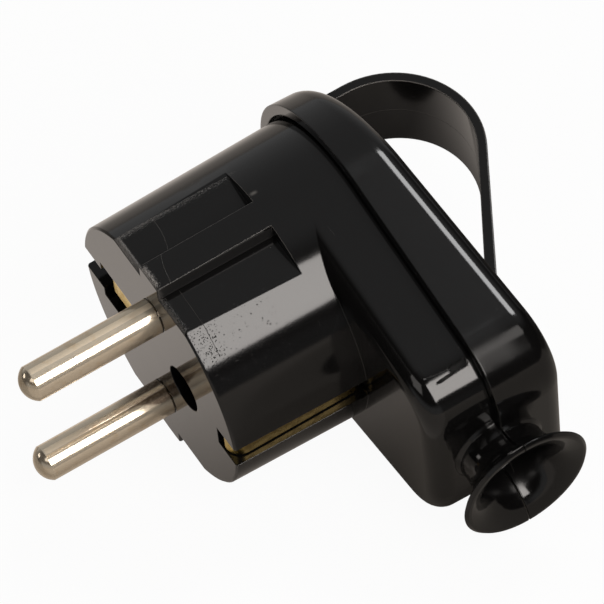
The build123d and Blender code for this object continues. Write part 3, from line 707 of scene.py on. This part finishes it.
class PlugStage(bpy.types.PropertyGroup):
    """Floor, lamps and camera."""

    floor_colour: FloatVectorProperty(
        name="Floor", description="Colour of the floor",
        subtype="COLOR", default=(0.86, 0.86, 0.86), min=0, max=1,
    )
    floor_glow: FloatProperty(
        name="Floor white", description="Share of plain white in the floor as it is seen",
        subtype="FACTOR", default=0.95, min=0, max=1,
    )
    # Strength of the painted light on the floor behind the plug, seen in gloss
    floor_painted_light_share: FloatProperty(
        name="Floor in gloss", description="Share of plain white behind the plug as gloss shows it",
        subtype="FACTOR", default=0.65, min=0, max=1,
    )
    key_power: FloatProperty(
        name="Key", description="Power of the large softbox before the plug",
        subtype="POWER", unit="POWER", default=5.9, min=0,
    )
    wing_power: FloatProperty(
        name="Wing", description="Power of the weak strip beside the key",
        subtype="POWER", unit="POWER", default=0.22, min=0,
    )
    rim_power: FloatProperty(
        name="Rim", description="Power of the small softbox over the strap",
        subtype="POWER", unit="POWER", default=2.75, min=0,
    )
    side_power: FloatProperty(
        name="Side", description="Power of the low softbox beyond the pins",
        subtype="POWER", unit="POWER", default=0.29, min=0,
    )
    fill_power: FloatProperty(
        name="Fill", description="Power of the weak softbox over the pins",
        subtype="POWER", unit="POWER", default=0.95, min=0,
    )
    lamp_distance: FloatProperty(
        name="Lamp distance", description="From the plug to the softboxes",
        subtype="DISTANCE", unit="LENGTH", default=1.0, min=0.1,
    )
    lens: FloatProperty(
        name="Lens", description="Focal length of the camera",
        subtype="DISTANCE_CAMERA", unit="CAMERA", default=387.01, min=10,
    )
    sensor: FloatProperty(
        name="Sensor", description="Width of the camera's sensor",
        subtype="DISTANCE_CAMERA", unit="CAMERA", default=36.0, min=1,
    )
    camera_azimuth: FloatProperty(
        name="Azimuth", description="Turn of the camera round the plug, from the way the pins point",
        subtype="ANGLE", unit="ROTATION", default=math.radians(68.6381),
    )
    camera_elevation: FloatProperty(
        name="Elevation", description="Angle of the camera above the floor",
        subtype="ANGLE", unit="ROTATION", default=math.radians(49.2175),
    )
    camera_roll: FloatProperty(
        name="Roll", description="Turn of the camera about its own line of sight",
        subtype="ANGLE", unit="ROTATION", default=math.radians(-12.8789),
    )
    camera_distance: FloatProperty(
        name="Camera distance", description="From the aim to the camera",
        subtype="DISTANCE", unit="LENGTH", default=0.802013, min=0.1,
    )
    camera_aim: FloatVectorProperty(
        name="Aim", description="Point of the plug in the middle of the picture",
        subtype="TRANSLATION", unit="LENGTH", precision=5, default=(-0.017445, 0.006684, 0.0038),
    )


# Operators, one for each piece or group of like pieces and one for the stage


class PLUG_OT_front_body(bpy.types.Operator):
    """Finish the front body in gloss black plastic"""

    bl_idname = "plug.front_body"
    bl_label = "Front Body"

    def execute(self, context):
        look = context.scene.plug_looks
        dress(gloss_plastic("body_gloss_plastic", look.body_edge, head_marks), "front_body")
        return {"FINISHED"}


class PLUG_OT_rear_cover(bpy.types.Operator):
    """Finish the rear cover and its strap in gloss black plastic"""

    bl_idname = "plug.rear_cover"
    bl_label = "Rear Cover"

    def execute(self, context):
        look = context.scene.plug_looks
        dress(gloss_plastic("cover_gloss_plastic", look.cover_edge, cover_marks), "rear_cover")
        return {"FINISHED"}


class PLUG_OT_pins(bpy.types.Operator):
    """Finish both pins in warm nickel plate"""

    bl_idname = "plug.pins"
    bl_label = "Pins"

    def execute(self, context):
        dress(nickel_finish(), "pin_upper", "pin_lower")
        return {"FINISHED"}


class PLUG_OT_earth_contact(bpy.types.Operator):
    """Finish the earth contact in brass"""

    bl_idname = "plug.earth_contact"
    bl_label = "Earth Contact"

    def execute(self, context):
        dress(brass_finish(), "earth_contact")
        return {"FINISHED"}


class PLUG_OT_screws(bpy.types.Operator):
    """Finish the screws and the nut in zinc plate"""

    bl_idname = "plug.screws"
    bl_label = "Screws and Nut"

    def execute(self, context):
        dress(
            zinc_finish(),
            "pin_terminal_screws", "earth_terminal_screw", "assembly_screw", "assembly_nut", "clamp_screws",
        )
        return {"FINISHED"}


class PLUG_OT_cord_clamp(bpy.types.Operator):
    """Finish the cord clamp in satin black plastic"""

    bl_idname = "plug.cord_clamp"
    bl_label = "Cord Clamp"

    def execute(self, context):
        dress(satin_plastic(), "cord_clamp")
        return {"FINISHED"}


class PLUG_OT_stage(bpy.types.Operator):
    """Lay the floor and set the lamps and the camera"""

    bl_idname = "plug.stage"
    bl_label = "Stage"

    def execute(self, context):
        scene = context.scene
        stage = scene.plug_stage
        low, high = CAD_BOX
        middle = (low + high) / 2
        floor = floor_sheet(stage, low.z)
        for name, way, size, colour in SOFTBOXES:
            power = getattr(stage, name + "_power")
            softbox(name + "_softbox", way, size, power, colour, middle, stage.lamp_distance)
        scene.world = studio_world()
        scene.camera = photo_camera(stage)
        scene.view_settings.view_transform = "Standard"
        return {"FINISHED"}


class PLUG_PT_panel(bpy.types.Panel):
    """Finishes and stage of the plug"""

    bl_idname = "PLUG_PT_panel"
    bl_label = "Angled Plug"
    bl_space_type = "VIEW_3D"
    bl_region_type = "UI"
    bl_category = "Plug"

    def draw(self, context):
        column = self.layout.column()
        for settings in (context.scene.plug_looks, context.scene.plug_stage):
            for name in settings.bl_rna.properties.keys():
                if name not in {"rna_type", "name"}:
                    column.prop(settings, name)
        for operator in OPERATORS:
            column.operator(operator.bl_idname)


OPERATORS = (
    PLUG_OT_front_body,
    PLUG_OT_rear_cover,
    PLUG_OT_pins,
    PLUG_OT_earth_contact,
    PLUG_OT_screws,
    PLUG_OT_cord_clamp,
    PLUG_OT_stage,
)
CLASSES = (PlugLooks, PlugStage, *OPERATORS, PLUG_PT_panel)


def register():
    for item in CLASSES:
        bpy.utils.register_class(item)
    bpy.types.Scene.plug_looks = PointerProperty(type=PlugLooks)
    bpy.types.Scene.plug_stage = PointerProperty(type=PlugStage)


def unregister():
    del bpy.types.Scene.plug_stage
    del bpy.types.Scene.plug_looks
    for item in reversed(CLASSES):
        bpy.utils.unregister_class(item)


def main():
    """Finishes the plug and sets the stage."""
    register()
    bpy.ops.plug.front_body()
    bpy.ops.plug.rear_cover()
    bpy.ops.plug.pins()
    bpy.ops.plug.earth_contact()
    bpy.ops.plug.screws()
    bpy.ops.plug.cord_clamp()
    bpy.ops.plug.stage()


if __name__ == "__main__":
    main()
